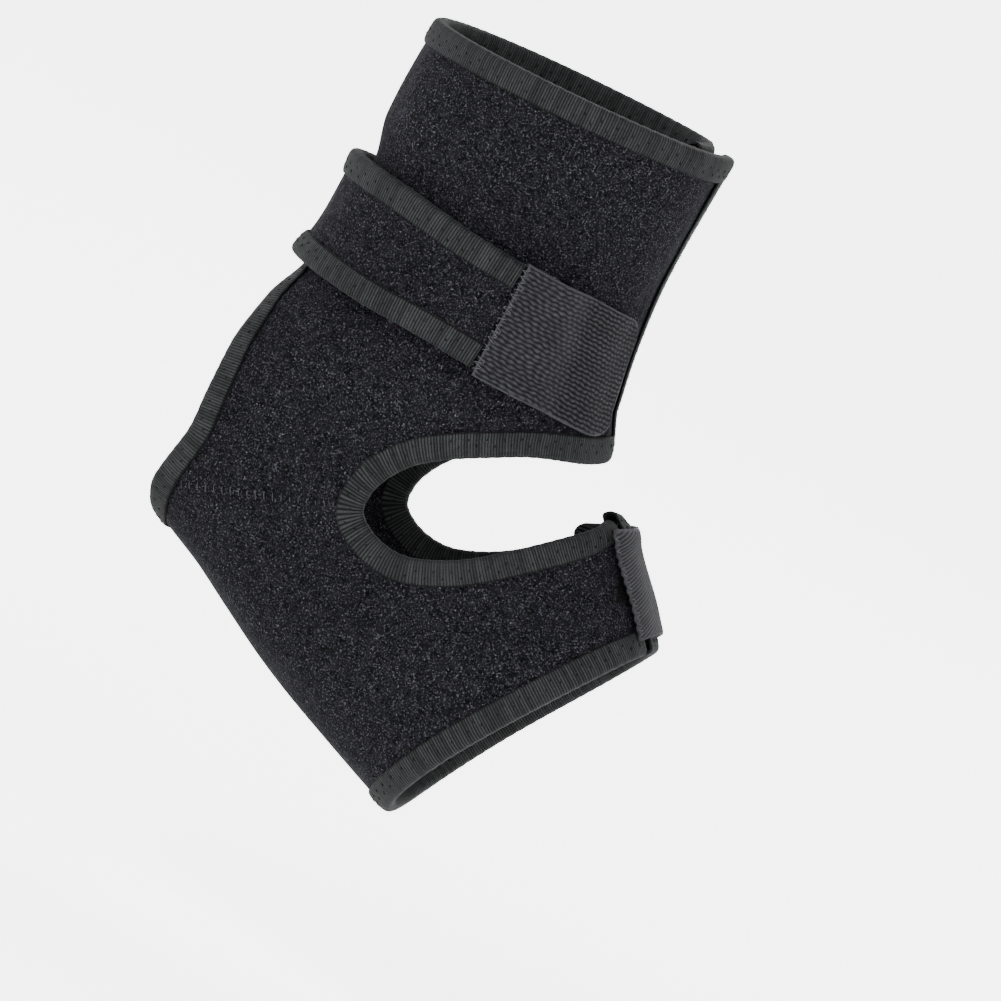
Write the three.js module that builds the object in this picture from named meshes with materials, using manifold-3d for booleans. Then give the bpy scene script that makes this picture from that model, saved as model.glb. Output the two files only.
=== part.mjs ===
// Open-heel wrap ankle brace for the right side, in the form that it has when it is worn.
// Millimetres. +Z runs up the cuff, +X forward, and -Y is the outer side.
// The origin is in the middle of the hollow, where the brace turns forward.
//
// Every piece is cut flat and then wrapped. A flat pattern has two lengths: psi, the angle round
// the form in degrees (0 at the front, 90 at the outer side, 180 at the back), and q, the length
// along the form in millimetres (0 at its bend, upward positive). A third
// length, the lift, is measured square to the outer face of the brace, outward positive.

import * as THREE from "three";
import { mergeVertices } from "three/addons/utils/BufferGeometryUtils.js";
import Module from "manifold-3d";

const wasm = await Module();
wasm.setup();

// The form that the brace follows: level sections up the cuff, and below its bend sections that
// fan about a line in front of the ankle.
const fanX = 135;
const fanZ = 43;
const fanRadius = 150;
const shinReach = 75;
const ankleDepth = 100;
const ankleWidth = 75;

// The brace's own edges.
const cuffHeight = 121;
const cuffTilt = 4.5;
const toeEdgeAngle = 61.7;
const toeEdgeRise = 1.5;

// Materials and clearances.
const neoprene = 3;
const strapNeoprene = 3;
const hookTape = 1.2;
const bindingTape = 0.8;
const bindingWidth = 8;
const clearance = 0.6;

// Strap and hook pieces.
const strapWidth = 38;
const strapHeight = 52.8;
const strapRise = 2;
const strapLean = 0.9;
const strapNeck = 0.078;
const neckEnd = 125;
const neckTurn = 35;
const strapSewnEnd = 304;
const strapPress = 1.8;
const strapShoulder = 14;
const patchStart = 74;
const patchEnd = 7;
const patchSlant = 3;
const patchOverlap = 10;
const patchCorner = 7;
const patchFootCorner = 14;
const patchTrim = 2;
const patchRamp = 18;
const patchRampGap = 2;
const patchStitchGap = 0.4;
const tabStart = 22.5;
const tabEnd = -52;
const tabTopAngle = 28;
const tabFootAngle = 58.5;
const tabCorner = 4;

// Where the two flaps of the cuff and of the lower band end, round the form.
const outerFlapTop = -5;
const outerFlapFoot = -16;
const innerFlapEnd = 376;
const bandOuterEnd = 15;
const bandInnerEnd = 367;

// How far the inner flap is pressed in where the outer flap covers it.
const tuckDepth = neoprene + 2 * bindingTape + 4 * clearance;
const tuckFrom = 308;
const tuckTo = 342;
const tuckMargin = 12;
const tuckFade = 24;

// Binding widths that the front flap's binding stops short of the opening's.
const flapFootGap = 2;

// Fineness of the faceted walls.
const cellRound = 6.8;
const cellAlong = 9;
const fineCell = 5;
const cornerSteps = 4;
const stationStep = 7;
const heelStep = 5.5;

// Sections of the form. at: share of the cuff's height above the bend, or, negative,
// of the fan's sweep below it. front: share of shinReach from the fan line to the front.
// depth: share of ankleDepth. width: share of ankleWidth. widest: where the section is widest,
// as a share of its depth from the front. square: 2 is an ellipse, more is squarer.
const sections = [
  { at: 1.3, front: 1.09, depth: 1.0, width: 1.15, widest: 0.5, square: 2.15 },
  { at: 1.0, front: 1.102, depth: 0.976, width: 1.12, widest: 0.5, square: 2.15 },
  { at: 0.55, front: 1.1, depth: 0.973, width: 1.05, widest: 0.5, square: 2.15 },
  { at: 0.25, front: 1.063, depth: 0.973, width: 0.98, widest: 0.5, square: 2.15 },
  { at: 0, front: 1.008, depth: 1.022, width: 0.95, widest: 0.5, square: 2.15 },
  { at: -0.1, front: 0.965, depth: 1.126, width: 0.95, widest: 0.48, square: 2.15 },
  { at: -0.2, front: 0.94, depth: 1.28, width: 0.96, widest: 0.46, square: 2.15 },
  { at: -0.32, front: 0.88, depth: 1.45, width: 0.97, widest: 0.45, square: 2.2 },
  { at: -0.4, front: 0.845, depth: 1.5, width: 0.98, widest: 0.45, square: 2.25 },
  { at: -0.46, front: 0.81, depth: 1.42, width: 0.98, widest: 0.47, square: 2.3 },
  { at: -0.54, front: 0.803, depth: 1.297, width: 0.99, widest: 0.5, square: 2.35 },
  { at: -0.7, front: 0.787, depth: 1.149, width: 1.01, widest: 0.54, square: 2.4 },
  { at: -0.83, front: 0.79, depth: 1.05, width: 1.04, widest: 0.56, square: 2.4 },
  { at: -1.0, front: 0.828, depth: 0.934, width: 1.08, widest: 0.57, square: 2.4 },
  { at: -1.15, front: 0.88, depth: 0.85, width: 1.1, widest: 0.57, square: 2.4 },
];

// Outer outline of the instep opening on the outer side, from the cuff's front corner round the
// U to the lower band's front corner. x and z: shares of openingReach and openingRise.
const openingReach = 63;
const openingRise = 53;
const openingX = 12.2;
const openingZ = -23;
const openingOutline = [
  { x: 0.605, z: 0.89 },
  { x: 0.41, z: 0.758 },
  { x: 0.22, z: 0.61 },
  { x: 0.11, z: 0.494 },
  { x: 0.022, z: 0.32 },
  { x: 0.0, z: 0.185 },
  { x: 0.044, z: 0.064 },
  { x: 0.171, z: 0.0 },
  { x: 0.314, z: 0.0 },
  { x: 0.462, z: 0.072 },
  { x: 0.6, z: 0.18 },
  { x: 0.775, z: 0.366 },
];
const cuffFrontAngle = 10.2;
const cuffCornerAngle = 10.6;
const cuffCornerPsi = 8;
const bandFrontAngle = 24;
const bandFrontLean = 0.1;
const bandCornerPsi = 10;

// The heel opening. at: share of the way from its top to its lower end along the form.
// half: share of heelWidth from the middle of the back to its edge.
const heelWidth = 54;
const heelTopAngle = 0.8;
const heelFootAngle = 28;
const heelOutline = [
  { at: 0.03, half: 0.07 },
  { at: 0.1, half: 0.14 },
  { at: 0.2, half: 0.23 },
  { at: 0.31, half: 0.33 },
  { at: 0.44, half: 0.41 },
  { at: 0.58, half: 0.46 },
  { at: 0.72, half: 0.48 },
  { at: 0.84, half: 0.44 },
  { at: 0.93, half: 0.34 },
  { at: 0.985, half: 0.18 },
];

const degree = Math.PI / 180;
const fullTurn = 360;
const quarterTurn = Math.PI / 2;
const cuffRise = cuffHeight - fanZ;
const fanLength = toeEdgeAngle * degree * fanRadius;
const girthPerDegree = (ankleDepth + ankleWidth) * Math.PI / 2 / fullTurn;
const difference = 0.4;
const crownRadius = 1000;
const tableOverrun = 0.2;
const heightPasses = 12;
const nearlyWhole = 0.999;
const weld = 1e-4;
const spare = 1;

// Smooth step from 0 to 1.
function ease(share) {
  const s = Math.min(1, Math.max(0, share));
  return s * s * (3 - 2 * s);
}

// The form

const knots = sections
  .map((row) => ({ ...row, q: row.at > 0 ? row.at * cuffRise : row.at * fanLength }))
  .sort((a, b) => a.q - b.q);

function slope(i, column) {
  const before = knots[Math.max(0, i - 1)];
  const after = knots[Math.min(knots.length - 1, i + 1)];
  return (after[column] - before[column]) / (after.q - before.q);
}

// One column of the section table at length q, by a cubic through the rows.
function sectionValue(column, q) {
  let i = 0;
  while (i < knots.length - 2 && q > knots[i + 1].q) i += 1;
  const span = knots[i + 1].q - knots[i].q;
  const s = Math.min(1 + tableOverrun, Math.max(-tableOverrun, (q - knots[i].q) / span));
  const from = knots[i][column] * (1 + 2 * s) * (1 - s) ** 2;
  const to = knots[i + 1][column] * s * s * (3 - 2 * s);
  const lean = slope(i, column) * s * (1 - s) ** 2 + slope(i + 1, column) * s * s * (s - 1);
  return from + to + lean * span;
}

function sectionAt(q) {
  const front = sectionValue("front", q) * shinReach;
  const depth = sectionValue("depth", q) * ankleDepth;
  const widest = sectionValue("widest", q);
  return {
    middle: front + depth * widest,
    forward: depth * widest,
    backward: depth * (1 - widest),
    half: sectionValue("width", q) * ankleWidth / 2,
    square: sectionValue("square", q),
  };
}

// The point of the form at angle psi and length q.
function formPoint(psi, q) {
  const section = sectionAt(q);
  const c = Math.cos(psi * degree);
  const s = Math.sin(psi * degree);
  const n = section.square;
  const k = (Math.abs(c) ** n + Math.abs(s) ** n) ** (-1 / n);
  const t = section.middle - c * k * (c > 0 ? section.forward : section.backward);
  const y = -s * k * section.half;
  if (q >= 0) return new THREE.Vector3(fanX - t, y, fanZ + q);
  const angle = -q / fanRadius;
  return new THREE.Vector3(fanX - t * Math.cos(angle), y, fanZ - t * Math.sin(angle));
}

// How the form runs at a point: its steps per degree and per millimetre, and its outward normal.
function formFrame(psi, q) {
  const round = formPoint(psi + difference, q).sub(formPoint(psi - difference, q));
  const along = formPoint(psi, q + difference).sub(formPoint(psi, q - difference));
  round.divideScalar(2 * difference);
  along.divideScalar(2 * difference);
  const normal = new THREE.Vector3().crossVectors(along, round).normalize();
  return { round, along, normal };
}

// Height of the strap's middle line, which rises a little at the outer side and leans forward.
function strapMiddle(psi) {
  return strapHeight + strapRise * Math.sin(psi * degree) - strapLean * Math.cos(psi * degree);
}

// The inner flap of the cuff goes in under the outer one.
function tuck(psi, q) {
  const cuffFoot = -cuffFrontAngle * degree * fanRadius - tuckMargin;
  const upper = ease(1 + (q - cuffFoot) / tuckFade);
  return tuckDepth * ease((psi - tuckFrom) / (tuckTo - tuckFrom)) * upper;
}

// The strap presses the soft cuff in, with a shoulder above and below.
function press(psi, q) {
  const height = formPoint(psi, q).z;
  const beyond = Math.abs(height - strapMiddle(psi)) - strapWidth / 2;
  const turned = (psi + fullTurn) % fullTurn;
  const ahead = turned * girthPerDegree;
  const behind = (strapSewnEnd - turned) * girthPerDegree + strapShoulder;
  const round = ease(ahead / strapShoulder) * ease(behind / strapShoulder);
  return strapPress * ease(1 - beyond / strapShoulder) * round;
}

// A point of a wrapped piece, lifted off the form.
function wrappedPoint(psi, q, lift) {
  const { normal } = formFrame(psi, q);
  return formPoint(psi, q).addScaledVector(normal, lift - tuck(psi, q) - press(psi, q));
}

// The length q at which the form at angle psi passes height z.
function lengthAtHeight(psi, z) {
  let q = z - fanZ;
  for (let pass = 0; pass < heightPasses && q < 0; pass += 1) {
    const { along } = formFrame(psi, q);
    q += (z - formPoint(psi, q).z) / along.z;
  }
  return q;
}

// Pattern place of a side view point on the outer side of the form.
function patternPlace(x, z) {
  const low = z < fanZ;
  const angle = low ? Math.atan2(fanZ - z, fanX - x) : 0;
  const t = low ? Math.hypot(fanZ - z, fanX - x) : fanX - x;
  const q = low ? -angle * fanRadius : z - fanZ;
  const section = sectionAt(q);
  const ahead = section.middle - t;
  const reach = ahead > 0 ? section.forward : section.backward;
  const c = Math.max(-nearlyWhole, Math.min(nearlyWhole, ahead / reach));
  const s = (1 - Math.abs(c) ** section.square) ** (1 / section.square);
  return { psi: Math.atan2(s, c) / degree, q };
}

// Pattern place at a distance from the middle of the back.
function backPlace(q, distance) {
  const section = sectionAt(q);
  const s = Math.min(nearlyWhole, distance / section.half);
  const c = (1 - s ** section.square) ** (1 / section.square);
  return { psi: fullTurn / 2 - Math.atan2(s, c) / degree, q };
}

// Edges of the pattern

const mirrored = (place) => ({ psi: fullTurn - place.psi, q: place.q });
const fanPlace = (psi, angle) => ({ psi, q: -angle * degree * fanRadius });

// A smooth line through pattern places, stepped evenly on the form.
function smoothLine(places, closed, step) {
  const knotPoints = places.map(({ psi, q }) => new THREE.Vector3(psi * girthPerDegree, q, 0));
  const curve = new THREE.CatmullRomCurve3(knotPoints, closed, "centripetal");
  const count = Math.max(2, Math.round(curve.getLength() / step));
  const points = curve.getSpacedPoints(count);
  if (closed) points.pop();
  return points.map((point) => ({ psi: point.x / girthPerDegree, q: point.y }));
}

function rimLength(psi) {
  const x = formPoint(psi, cuffRise).x;
  return cuffRise + x * Math.tan(cuffTilt * degree);
}

function rimLine(from, to) {
  const count = Math.round(Math.abs(to - from) * girthPerDegree / stationStep);
  return Array.from({ length: count + 1 }, (_, i) => {
    const psi = from + (to - from) * i / count;
    return { psi, q: rimLength(psi) };
  });
}

function toeLine(from, to) {
  const count = Math.round(Math.abs(to - from) * girthPerDegree / stationStep);
  return Array.from({ length: count + 1 }, (_, i) => {
    const psi = from + (to - from) * i / count;
    const rise = toeEdgeRise * Math.sin(psi * degree) ** 2;
    return fanPlace(psi, toeEdgeAngle - rise);
  });
}

function openingLine(cuffEnd, bandEnd) {
  const outline = openingOutline.map(({ x, z }) =>
    patternPlace(openingX + x * openingReach, openingZ + z * openingRise));
  const places = [fanPlace(cuffEnd, cuffFrontAngle), fanPlace(cuffCornerPsi, cuffCornerAngle)];
  places.push(...outline);
  const band = (psi) => fanPlace(psi, bandFrontAngle + psi * bandFrontLean);
  if (bandEnd < bandCornerPsi) places.push(band(bandCornerPsi));
  places.push(band(bandEnd));
  return smoothLine(places, false, stationStep);
}

function heelLine() {
  const foot = -heelFootAngle * degree * fanRadius;
  const top = -heelTopAngle * degree * fanRadius;
  const half = heelOutline.map((row) => backPlace(top + (foot - top) * row.at, row.half * heelWidth));
  const back = fullTurn / 2;
  const places = [{ psi: back, q: top }, ...half, { psi: back, q: foot }];
  places.push(...half.map(mirrored).reverse());
  return smoothLine(places, true, heelStep);
}

const outerOpening = openingLine(outerFlapFoot, bandOuterEnd);
const innerOpening = openingLine(fullTurn - innerFlapEnd, fullTurn - bandInnerEnd).map(mirrored);
const heelOpening = heelLine();
const rim = rimLine(outerFlapTop, innerFlapEnd);
const toeEdge = toeLine(bandOuterEnd, bandInnerEnd);

// Solids

function toSolid(geometry) {
  geometry.deleteAttribute("normal");
  geometry.deleteAttribute("uv");
  const merged = mergeVertices(geometry, weld);
  return new wasm.Manifold(new wasm.Mesh({
    numProp: 3,
    vertProperties: new Float32Array(merged.attributes.position.array),
    triVerts: new Uint32Array(merged.index.array),
  }));
}

// A sheet cut flat to an outline, with holes, then wrapped round the form. The flat blank is
// crowned a little, so that its grid has no level stretch and keeps all its points in the cut.
function wrapSheet(outline, holes, thickness, liftAt, cellWidth, cellHeight) {
  const flat = ({ psi, q }) => new THREE.Vector2(psi * girthPerDegree, q);
  const shape = new THREE.Shape(outline.map(flat));
  holes.forEach((hole) => shape.holes.push(new THREE.Path(hole.map(flat))));
  const box = new THREE.Box2().setFromPoints(outline.map(flat)).expandByScalar(spare);
  const size = box.getSize(new THREE.Vector2());
  const middle = box.getCenter(new THREE.Vector2());
  const crown = (x, y) => ((x - middle.x) ** 2 + (y - middle.y) ** 2) / crownRadius / 2;
  const columns = Math.ceil(size.x / cellWidth);
  const rows = Math.ceil(size.y / cellHeight);
  const blank = new THREE.BoxGeometry(size.x, size.y, thickness, columns, rows, 1);
  blank.translate(middle.x, middle.y, thickness / 2);
  const corners = blank.attributes.position;
  for (let i = 0; i < corners.count; i += 1) {
    corners.setZ(i, corners.getZ(i) + crown(corners.getX(i), corners.getY(i)));
  }
  const depth = thickness + crown(box.max.x, box.max.y) + 2 * spare;
  const cutter = new THREE.ExtrudeGeometry(shape, { depth, bevelEnabled: false });
  cutter.translate(0, 0, -spare);
  const cut = toSolid(blank).intersect(toSolid(cutter)).getMesh();
  const geometry = new THREE.BufferGeometry();
  const positions = new Float32Array(cut.vertProperties.length);
  for (let i = 0; i < positions.length; i += 3) {
    const [x, y, z] = cut.vertProperties.slice(i, i + 3);
    const psi = x / girthPerDegree;
    const lift = liftAt(psi) + z - crown(x, y);
    wrappedPoint(psi, y, lift).toArray(positions, i);
  }
  geometry.setAttribute("position", new THREE.BufferAttribute(positions, 3));
  geometry.setIndex(new THREE.BufferAttribute(new Uint32Array(cut.triVerts), 1));
  return orient(geometry);
}

function volumeOf(geometry) {
  const points = geometry.attributes.position;
  const index = geometry.index.array;
  const [a, b, c] = [new THREE.Vector3(), new THREE.Vector3(), new THREE.Vector3()];
  let volume = 0;
  for (let i = 0; i < index.length; i += 3) {
    a.fromBufferAttribute(points, index[i]);
    b.fromBufferAttribute(points, index[i + 1]);
    c.fromBufferAttribute(points, index[i + 2]);
    volume += a.dot(b.cross(c)) / 6;
  }
  return volume;
}

// Turn every face over if the solid is inside out.
function orient(geometry) {
  if (volumeOf(geometry) < 0) {
    const index = geometry.index.array;
    for (let i = 0; i < index.length; i += 3) {
      [index[i], index[i + 1]] = [index[i + 1], index[i]];
    }
  }
  geometry.computeVertexNormals();
  return geometry;
}

// The section of a binding: a tape folded over the edge of a sheet, from the inner end of its
// outer side round to the inner end of its inner side. across: distance past the sheet's edge.
// lift: height over the form. bends: the stretches of each side, more where the form is tight.
function bindingSection(sheetFoot, sheetTop, bends) {
  const outside = clearance + bindingTape;
  const inside = outside - bindingWidth;
  const top = sheetTop + clearance;
  const foot = sheetFoot - clearance;
  const leg = (from, to, lift) => Array.from({ length: bends + 1 }, (_, i) => ({
    across: from + (to - from) * i / bends,
    lift,
  }));
  return [
    ...leg(inside, outside, top + bindingTape),
    ...leg(outside, inside, foot - bindingTape),
    ...leg(inside, clearance, foot),
    ...leg(clearance, inside, top),
  ];
}

// A pattern place moved across a line by a true distance on the form.
function placeAcross(place, direction, distance) {
  const { round, along } = formFrame(place.psi, place.q);
  const rr = round.dot(round);
  const ra = round.dot(along);
  const aa = along.dot(along);
  const onRound = round.dot(direction) * distance;
  const onAlong = along.dot(direction) * distance;
  const scale = rr * aa - ra * ra;
  return {
    psi: place.psi + (onRound * aa - onAlong * ra) / scale,
    q: place.q + (onAlong * rr - onRound * ra) / scale,
  };
}

// A section carried along a line of pattern places. offSide 1 puts the free side on the left,
// seen from outside.
function sweepSection(line, closed, offSide, section) {
  const count = line.length;
  const neighbour = (i) => {
    if (closed) return line[(i + count) % count];
    return line[Math.min(count - 1, Math.max(0, i))];
  };
  const positions = [];
  line.forEach((place, i) => {
    const ahead = neighbour(i + 1);
    const behind = neighbour(i - 1);
    const tangent = formPoint(ahead.psi, ahead.q).sub(formPoint(behind.psi, behind.q));
    const { normal } = formFrame(place.psi, place.q);
    const direction = new THREE.Vector3().crossVectors(normal, tangent).normalize();
    direction.multiplyScalar(offSide);
    section.forEach(({ across, lift }) => {
      const moved = placeAcross(place, direction, across);
      positions.push(...wrappedPoint(moved.psi, moved.q, lift).toArray());
    });
  });
  const width = section.length;
  const index = [];
  const spans = closed ? count : count - 1;
  for (let i = 0; i < spans; i += 1) {
    const next = (i + 1) % count;
    for (let j = 0; j < width; j += 1) {
      const k = (j + 1) % width;
      const [a, b, c, d] = [i * width + j, i * width + k, next * width + k, next * width + j];
      index.push(a, b, c, a, c, d);
    }
  }
  if (!closed) index.push(...endCaps(section, count));
  const geometry = new THREE.BufferGeometry();
  geometry.setAttribute("position", new THREE.BufferAttribute(new Float32Array(positions), 3));
  geometry.setIndex(new THREE.BufferAttribute(new Uint32Array(index), 1));
  return orient(geometry);
}

function endCaps(section, count) {
  const flat = section.map(({ across, lift }) => new THREE.Vector2(across, lift));
  const clockwise = THREE.ShapeUtils.isClockWise(flat);
  const last = (count - 1) * section.length;
  const caps = [];
  THREE.ShapeUtils.triangulateShape(flat, []).forEach(([a, b, c]) => {
    if (clockwise) caps.push(a, b, c, last + a, last + c, last + b);
    else caps.push(a, c, b, last + a, last + b, last + c);
  });
  return caps;
}

// Pieces

function material(color, roughness) {
  return new THREE.MeshStandardMaterial({ color, roughness, metalness: 0 });
}

const loopFabric = material(0x1c1d1f, 0.95);
const bindingFabric = material(0x34383a, 0.8);
const hookFabric = material(0x45484b, 0.75);

const brace = new THREE.Group();
brace.name = "ankle_brace";

function addPiece(name, geometry, finish) {
  const mesh = new THREE.Mesh(geometry, finish);
  mesh.name = name;
  brace.add(mesh);
}

const bodySection = bindingSection(-neoprene, 0, 1);
const heelSection = bindingSection(-neoprene, 0, 2);
const cornerReach = clearance + bindingTape;
const strapFoot = 2 * bindingTape + 3 * clearance;
const strapTop = strapFoot + strapNeoprene;
const strapSection = bindingSection(strapFoot, strapTop, 1);

// The line with its ends moved along by a true distance, positive outward.
function withEnds(line, atStart, atEnd) {
  const result = line.slice();
  const shift = (place, beyond, distance) => {
    const here = formPoint(place.psi, place.q);
    const direction = here.clone().sub(formPoint(beyond.psi, beyond.q));
    return placeAcross(place, direction.normalize(), distance);
  };
  result[0] = shift(line[0], line[1], atStart);
  result[line.length - 1] = shift(line[line.length - 1], line[line.length - 2], atEnd);
  return result;
}

function bodyOutline() {
  return [...toeEdge, ...innerOpening.slice().reverse(), ...rim.slice().reverse(), ...outerOpening];
}

addPiece("brace_body", wrapSheet(bodyOutline(), [heelOpening], neoprene, () => -neoprene, cellRound,
  cellAlong), loopFabric);

addPiece("binding_rim", sweepSection(withEnds(rim, cornerReach, cornerReach), false, -1, bodySection),
  bindingFabric);
addPiece("binding_toe_edge", sweepSection(toeEdge, false, 1, bodySection), bindingFabric);
addPiece("binding_instep_outer", sweepSection(withEnds(outerOpening, cornerReach, 0), false, 1, bodySection),
  bindingFabric);
addPiece("binding_instep_inner", sweepSection(withEnds(innerOpening, cornerReach, 0), false, -1, bodySection),
  bindingFabric);
addPiece("binding_heel", sweepSection(heelOpening, true, -1, heelSection), bindingFabric);

// The cuff's front edge between the rim's binding and the instep opening's.
function flapEdgeLine() {
  const top = rimLength(outerFlapTop);
  const foot = outerOpening[0].q;
  const place = (share) => ({
    psi: outerFlapTop + (outerFlapFoot - outerFlapTop) * share,
    q: top + (foot - top) * share,
  });
  const reach = bindingWidth / (top - foot);
  const length = 1 - reach * (1 + flapFootGap);
  const count = Math.round((top - foot) / stationStep);
  return Array.from({ length: count + 1 }, (_, i) => place(reach + length * i / count));
}

addPiece("binding_front_flap", sweepSection(flapEdgeLine(), false, 1, bodySection), bindingFabric);

// The strap goes round the back from its sewn end on the inner side to the hook patch.
function strapEdge(psi, side) {
  return { psi, q: lengthAtHeight(psi, strapMiddle(psi) + side) };
}

// sideAt: the distance from the strap's middle line, as a function of psi.
function strapLine(from, to, sideAt) {
  const count = Math.round(Math.abs(to - from) * girthPerDegree / stationStep);
  return Array.from({ length: count + 1 }, (_, i) => {
    const psi = from + (to - from) * i / count;
    return strapEdge(psi, sideAt(psi));
  });
}

const strapSide = strapWidth / 2 - cornerReach;
const patchTop = strapWidth / 2;
const patchFoot = patchTop - patchTrim;

// Half the width between the strap's edges. The pull of the patch makes it narrower there.
function strapHalf(psi) {
  return strapSide * (1 - strapNeck * ease((neckEnd - psi) / neckTurn));
}

const patchUnder = patchStart - patchOverlap / girthPerDegree;
const strapOutline = [
  ...strapLine(patchUnder, strapSewnEnd, (psi) => -strapHalf(psi)),
  ...strapLine(strapSewnEnd, patchUnder, strapHalf),
];
addPiece("strap", wrapSheet(strapOutline, [], strapNeoprene, () => strapFoot, cellRound,
  cellAlong), loopFabric);

// The strap's bindings start just behind the hook patch, whose edge slants.
function strapBinding(side) {
  const behindPatch = clearance + patchStitchGap - side * patchSlant / 2;
  const start = patchStart + behindPatch / girthPerDegree;
  const line = strapLine(start, strapSewnEnd, (psi) => side * strapHalf(psi));
  return sweepSection(line, false, -side, strapSection);
}

addPiece("strap_binding_upper", strapBinding(1), bindingFabric);
addPiece("strap_binding_lower", strapBinding(-1), bindingFabric);

// Rounded corner points between two edge directions, as pattern places.
function roundedEnd(psi, turn, radius, lowQ, highQ, lowRadius = radius) {
  const corner = (angle, q, rise) => ({
    psi: psi + turn * Math.abs(rise) / girthPerDegree * (1 - Math.sin(angle)),
    q: q + rise * (1 - Math.cos(angle)),
  });
  const angles = Array.from({ length: cornerSteps + 1 }, (_, i) => i / cornerSteps * quarterTurn);
  const low = angles.map((angle) => corner(angle, lowQ, lowRadius));
  const high = angles.map((angle) => corner(quarterTurn - angle, highQ, -radius));
  return [...low, ...high];
}

// The hook patch lies on the strap's end and comes down on the cuff in front of it.
function patchLift(psi) {
  const rampEnd = patchUnder - patchRampGap;
  const rampStart = rampEnd - patchRamp;
  return clearance + strapTop * ease((psi - rampStart) / (rampEnd - rampStart));
}

const patchEdgeAfter = patchEnd + patchCorner / girthPerDegree;
const patchFootAfter = patchEnd + patchFootCorner / girthPerDegree;
const patchHalfSlant = patchSlant / 2 / girthPerDegree;
const patchOutline = [
  ...roundedEnd(patchEnd, 1, patchCorner, strapEdge(patchEnd, -patchFoot).q,
    strapEdge(patchEnd, patchTop).q, patchFootCorner),
  ...strapLine(patchEdgeAfter, patchStart - patchHalfSlant, () => patchTop).slice(1),
  ...strapLine(patchStart + patchHalfSlant, patchFootAfter, () => -patchFoot).slice(0, -1),
];
addPiece("strap_hook_patch", wrapSheet(patchOutline, [], hookTape, patchLift, fineCell,
  cellAlong), hookFabric);

// The hook tab closes the lower band at the front.
const tabLift = 2 * clearance + bindingTape;
const tabLow = -tabFootAngle * degree * fanRadius;
const tabHigh = -tabTopAngle * degree * fanRadius;
const tabOutline = [
  ...roundedEnd(tabEnd, 1, tabCorner, tabLow, tabHigh),
  { psi: tabStart, q: tabHigh },
  { psi: tabStart, q: tabLow },
];
addPiece("instep_hook_tab", wrapSheet(tabOutline, [], hookTape, () => tabLift, fineCell,
  cellAlong), hookFabric);

export default brace;
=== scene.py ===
# Looks of the open-heel wrap ankle brace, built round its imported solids.
# The pattern below is the one that the solids are cut and wrapped from: psi is the angle round
# the form in degrees, q the length along it in millimetres and lift the height over its form.

import math

import bpy
import numpy as np
from mathutils import Matrix, Vector


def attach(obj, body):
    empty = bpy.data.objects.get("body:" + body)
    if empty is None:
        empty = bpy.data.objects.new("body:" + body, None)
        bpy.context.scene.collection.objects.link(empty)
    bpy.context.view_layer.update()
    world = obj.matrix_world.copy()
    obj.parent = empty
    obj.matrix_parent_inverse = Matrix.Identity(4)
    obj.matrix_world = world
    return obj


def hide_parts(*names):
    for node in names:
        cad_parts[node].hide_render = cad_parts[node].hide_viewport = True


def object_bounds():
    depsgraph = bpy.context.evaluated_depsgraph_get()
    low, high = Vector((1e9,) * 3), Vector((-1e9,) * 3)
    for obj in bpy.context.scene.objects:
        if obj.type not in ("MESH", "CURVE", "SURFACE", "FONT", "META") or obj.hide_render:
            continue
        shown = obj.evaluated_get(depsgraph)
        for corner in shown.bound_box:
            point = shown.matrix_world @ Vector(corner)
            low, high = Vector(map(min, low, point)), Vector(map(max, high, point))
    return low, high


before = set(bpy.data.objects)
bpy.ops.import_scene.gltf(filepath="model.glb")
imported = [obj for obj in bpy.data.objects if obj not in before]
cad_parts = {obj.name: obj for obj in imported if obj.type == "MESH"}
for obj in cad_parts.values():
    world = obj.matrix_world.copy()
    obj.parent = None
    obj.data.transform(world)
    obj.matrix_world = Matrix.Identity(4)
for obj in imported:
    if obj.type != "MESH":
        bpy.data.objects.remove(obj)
cad_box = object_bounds()
chance = np.random.default_rng(7)

MM = 0.001
DEGREE = math.pi / 180

# The form and the pattern, in millimetres and degrees.
FAN_X = 135
FAN_Z = 43
FAN_RADIUS = 150
SHIN_REACH = 75
ANKLE_DEPTH = 100
ANKLE_WIDTH = 75
CUFF_HEIGHT = 121
CUFF_TILT = 4.5
TOE_EDGE_ANGLE = 61.7
TOE_EDGE_RISE = 1.5

NEOPRENE = 3
HOOK_TAPE = 1.2
BINDING_TAPE = 0.8
BINDING_WIDTH = 8
CLEARANCE = 0.6

STRAP_WIDTH = 38
STRAP_HEIGHT = 52.8
STRAP_RISE = 2
STRAP_LEAN = 0.9
STRAP_NECK = 0.078
NECK_END = 125
NECK_TURN = 35
STRAP_SEWN_END = 304
STRAP_PRESS = 1.8
STRAP_SHOULDER = 14
PATCH_START = 74
PATCH_END = 7
PATCH_SLANT = 3
PATCH_OVERLAP = 10
PATCH_CORNER = 7
PATCH_FOOT_CORNER = 14
PATCH_TRIM = 2
PATCH_FLARE = 2.2
PATCH_RAMP = 18
PATCH_RAMP_GAP = 2
TAB_START = 22.5
TAB_END = -52
TAB_TOP_ANGLE = 28
TAB_FOOT_ANGLE = 58.5
TAB_CORNER = 4

OUTER_FLAP_TOP = -5
OUTER_FLAP_FOOT = -16
INNER_FLAP_END = 376
BAND_OUTER_END = 15
BAND_INNER_END = 367
TUCK_DEPTH = NEOPRENE + 2 * BINDING_TAPE + 4 * CLEARANCE
TUCK_FROM = 308
TUCK_TO = 342
TUCK_MARGIN = 12
TUCK_FADE = 24

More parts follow.
